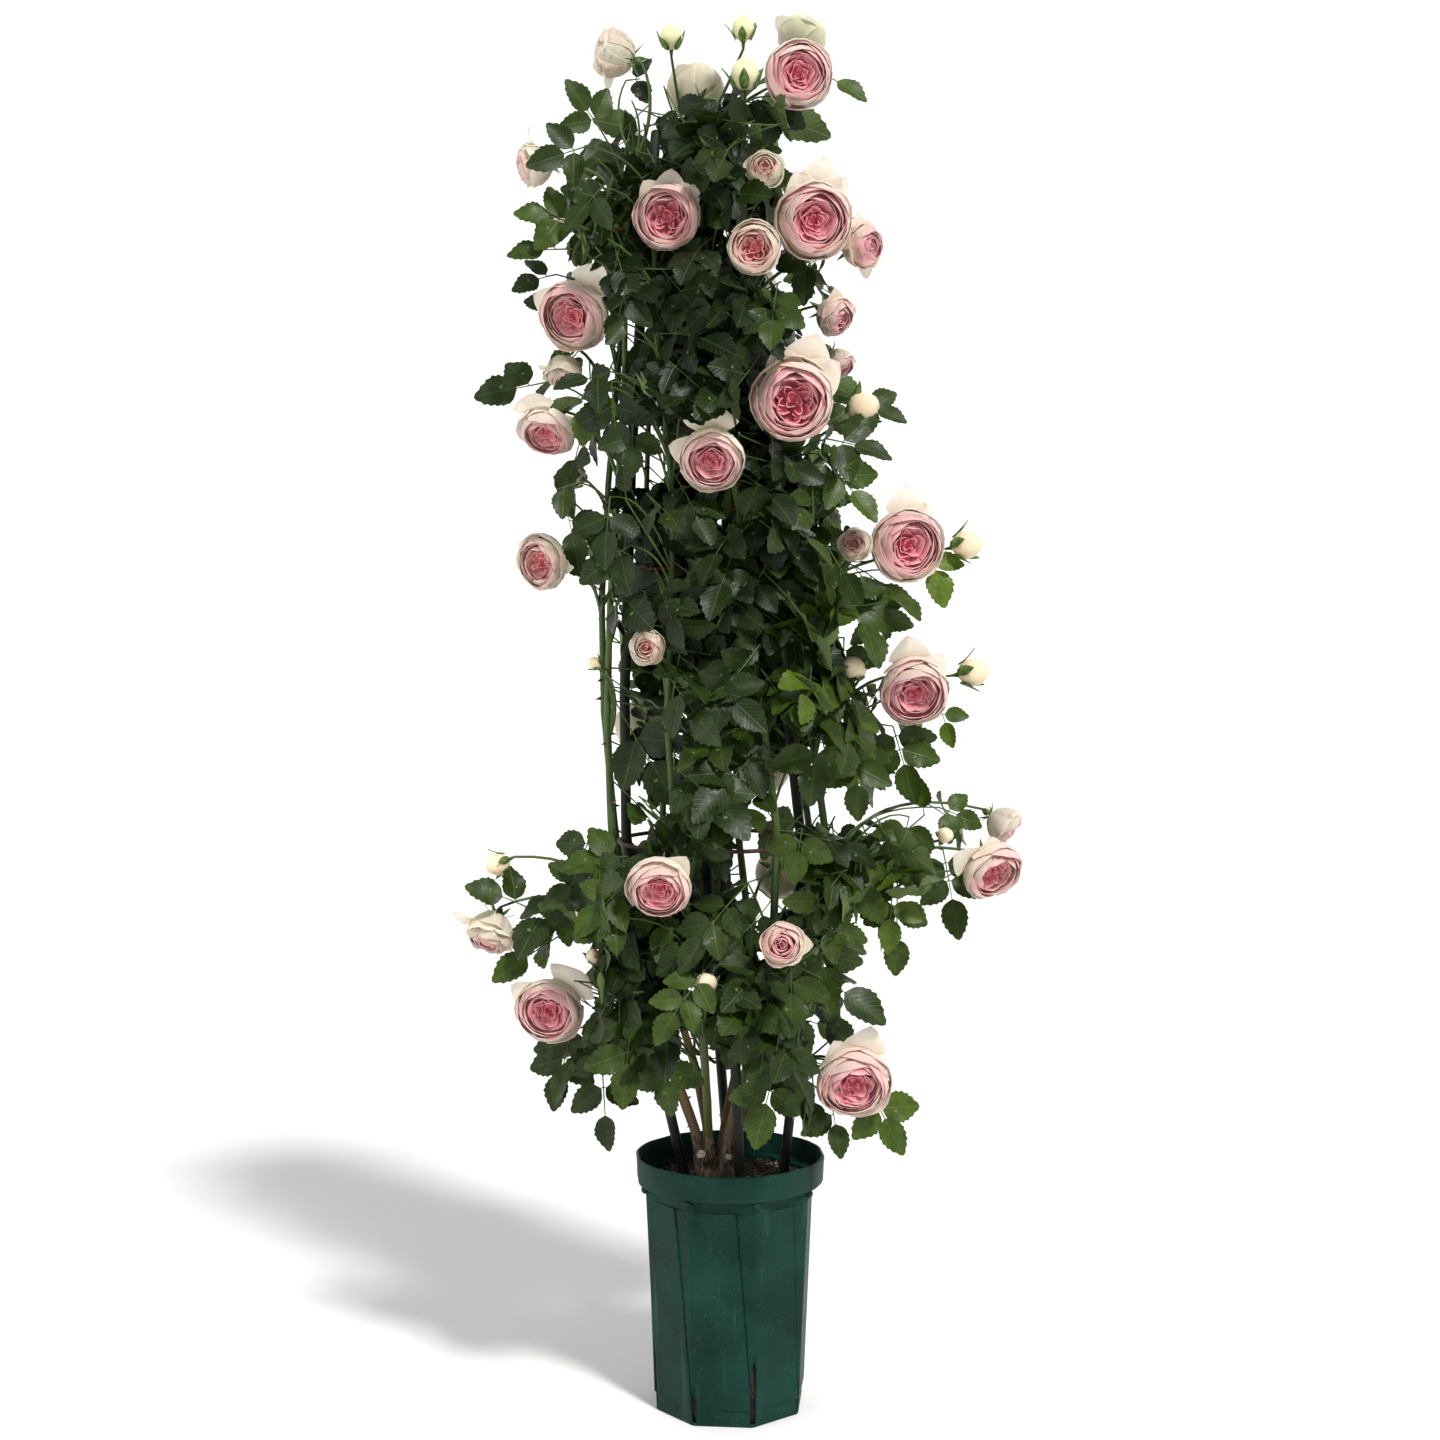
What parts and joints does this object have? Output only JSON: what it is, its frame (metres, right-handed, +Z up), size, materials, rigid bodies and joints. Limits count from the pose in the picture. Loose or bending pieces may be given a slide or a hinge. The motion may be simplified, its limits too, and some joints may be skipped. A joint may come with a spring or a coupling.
{
  "type": "potted climbing rose",
  "caption": "Climbing rose with leafy canes and full cupped blooms, trained round a slim obelisk trellis in a round-collared eight-sided plastic nursery pot.",
  "frame": {"origin": "on the floor under the middle of the pot", "axes": "+Z up along the plant, -Y towards the front as pictured, +X to the right seen from the front"},
  "size_m": [0.7126, 0.472, 1.7507],
  "materials": {
    "pot": "moulded satin with pale scuffs",
    "soil": "moist crumbly compost",
    "post": "weathered dark plastic coating",
    "ring": "dull brown-red paint",
    "crown": "rough grey-brown bark",
    "leafy_cane": "glossy green leaves on green canes",
    "petals": "soft satin petals, pink to cream"
  },
  "bodies": {
    "root": {"pot": "pot", "soil": "soil", "post_1": "post", "post_2": "post", "post_3": "post", "post_4": "post", "ring_1": "ring", "ring_2": "ring", "ring_3": "ring", "crown": "crown", "cane_front_right": "leafy_cane", "cane_right": "leafy_cane", "cane_back_right": "leafy_cane", "cane_back": "leafy_cane", "cane_back_left": "leafy_cane", "cane_left": "leafy_cane", "cane_front_left": "leafy_cane", "cane_front": "leafy_cane", "bloom_01": "petals", "bloom_02": "petals", "bloom_03": "petals", "bloom_04": "petals", "bloom_05": "petals", "bloom_06": "petals", "bloom_07": "petals", "bloom_08": "petals", "bloom_09": "petals", "bloom_10": "petals", "bloom_11": "petals", "bloom_12": "petals", "bloom_13": "petals", "bloom_14": "petals", "bloom_15": "petals", "bloom_16": "petals", "bloom_17": "petals", "bloom_18": "petals", "bloom_19": "petals", "bloom_20": "petals", "bloom_21": "petals", "bloom_22": "petals", "bloom_23": "petals", "bloom_24": "petals", "bloom_25": "petals", "bloom_26": "petals", "bloom_27": "petals", "bloom_28": "petals", "bloom_29": "petals", "bloom_30": "petals", "bloom_31": "petals", "bloom_32": "petals", "bloom_33": "petals", "bloom_34": "petals", "bloom_35": "petals", "bloom_36": "petals", "bloom_37": "petals", "bloom_38": "petals"}
  },
  "joints": []
}
